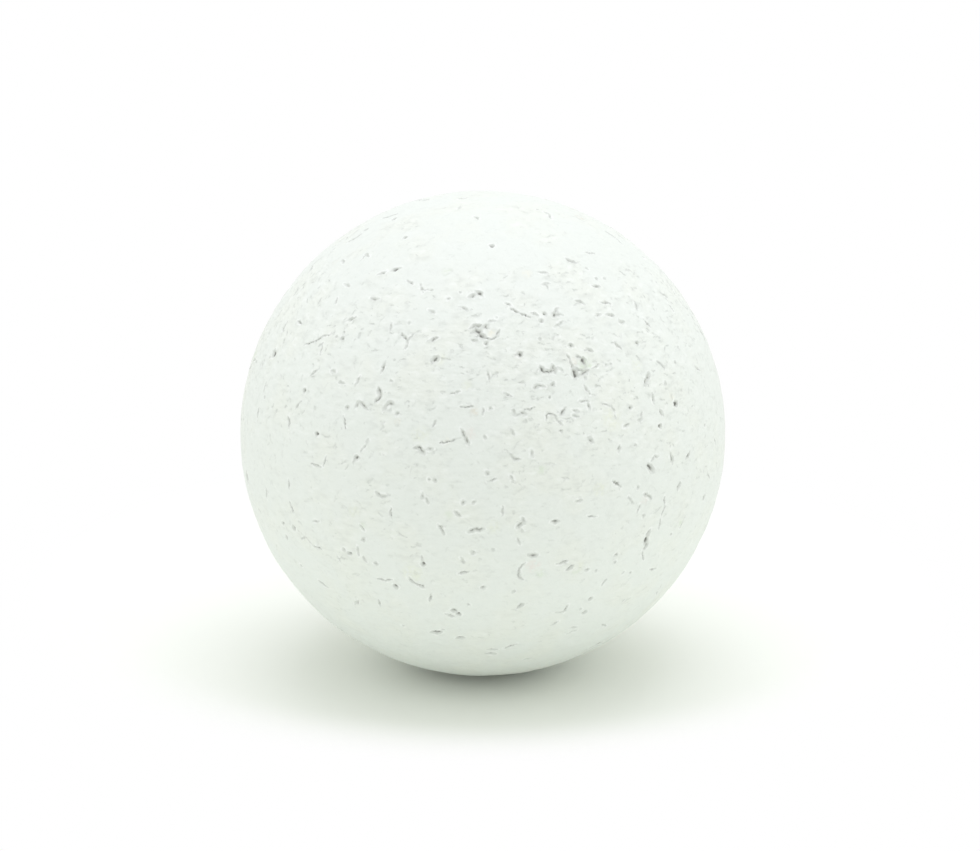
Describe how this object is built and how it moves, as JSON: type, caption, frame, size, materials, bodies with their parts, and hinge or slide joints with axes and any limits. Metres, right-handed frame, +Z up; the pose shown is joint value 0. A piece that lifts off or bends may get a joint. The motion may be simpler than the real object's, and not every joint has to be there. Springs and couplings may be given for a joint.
{
  "type": "table football ball",
  "caption": "White-painted solid cork ball for table football, with a matt skin pitted by open pores and fine cracks.",
  "frame": {"origin": "centre of the ball", "axes": "+Z up, through the place where the ball touches the table; -Y towards the viewer, +X to the viewer's right"},
  "size_m": [0.035, 0.035, 0.035],
  "materials": {
    "painted_cork": "matt white paint over pitted cork"
  },
  "bodies": {
    "root": {"cork_ball": "painted_cork"}
  },
  "joints": []
}
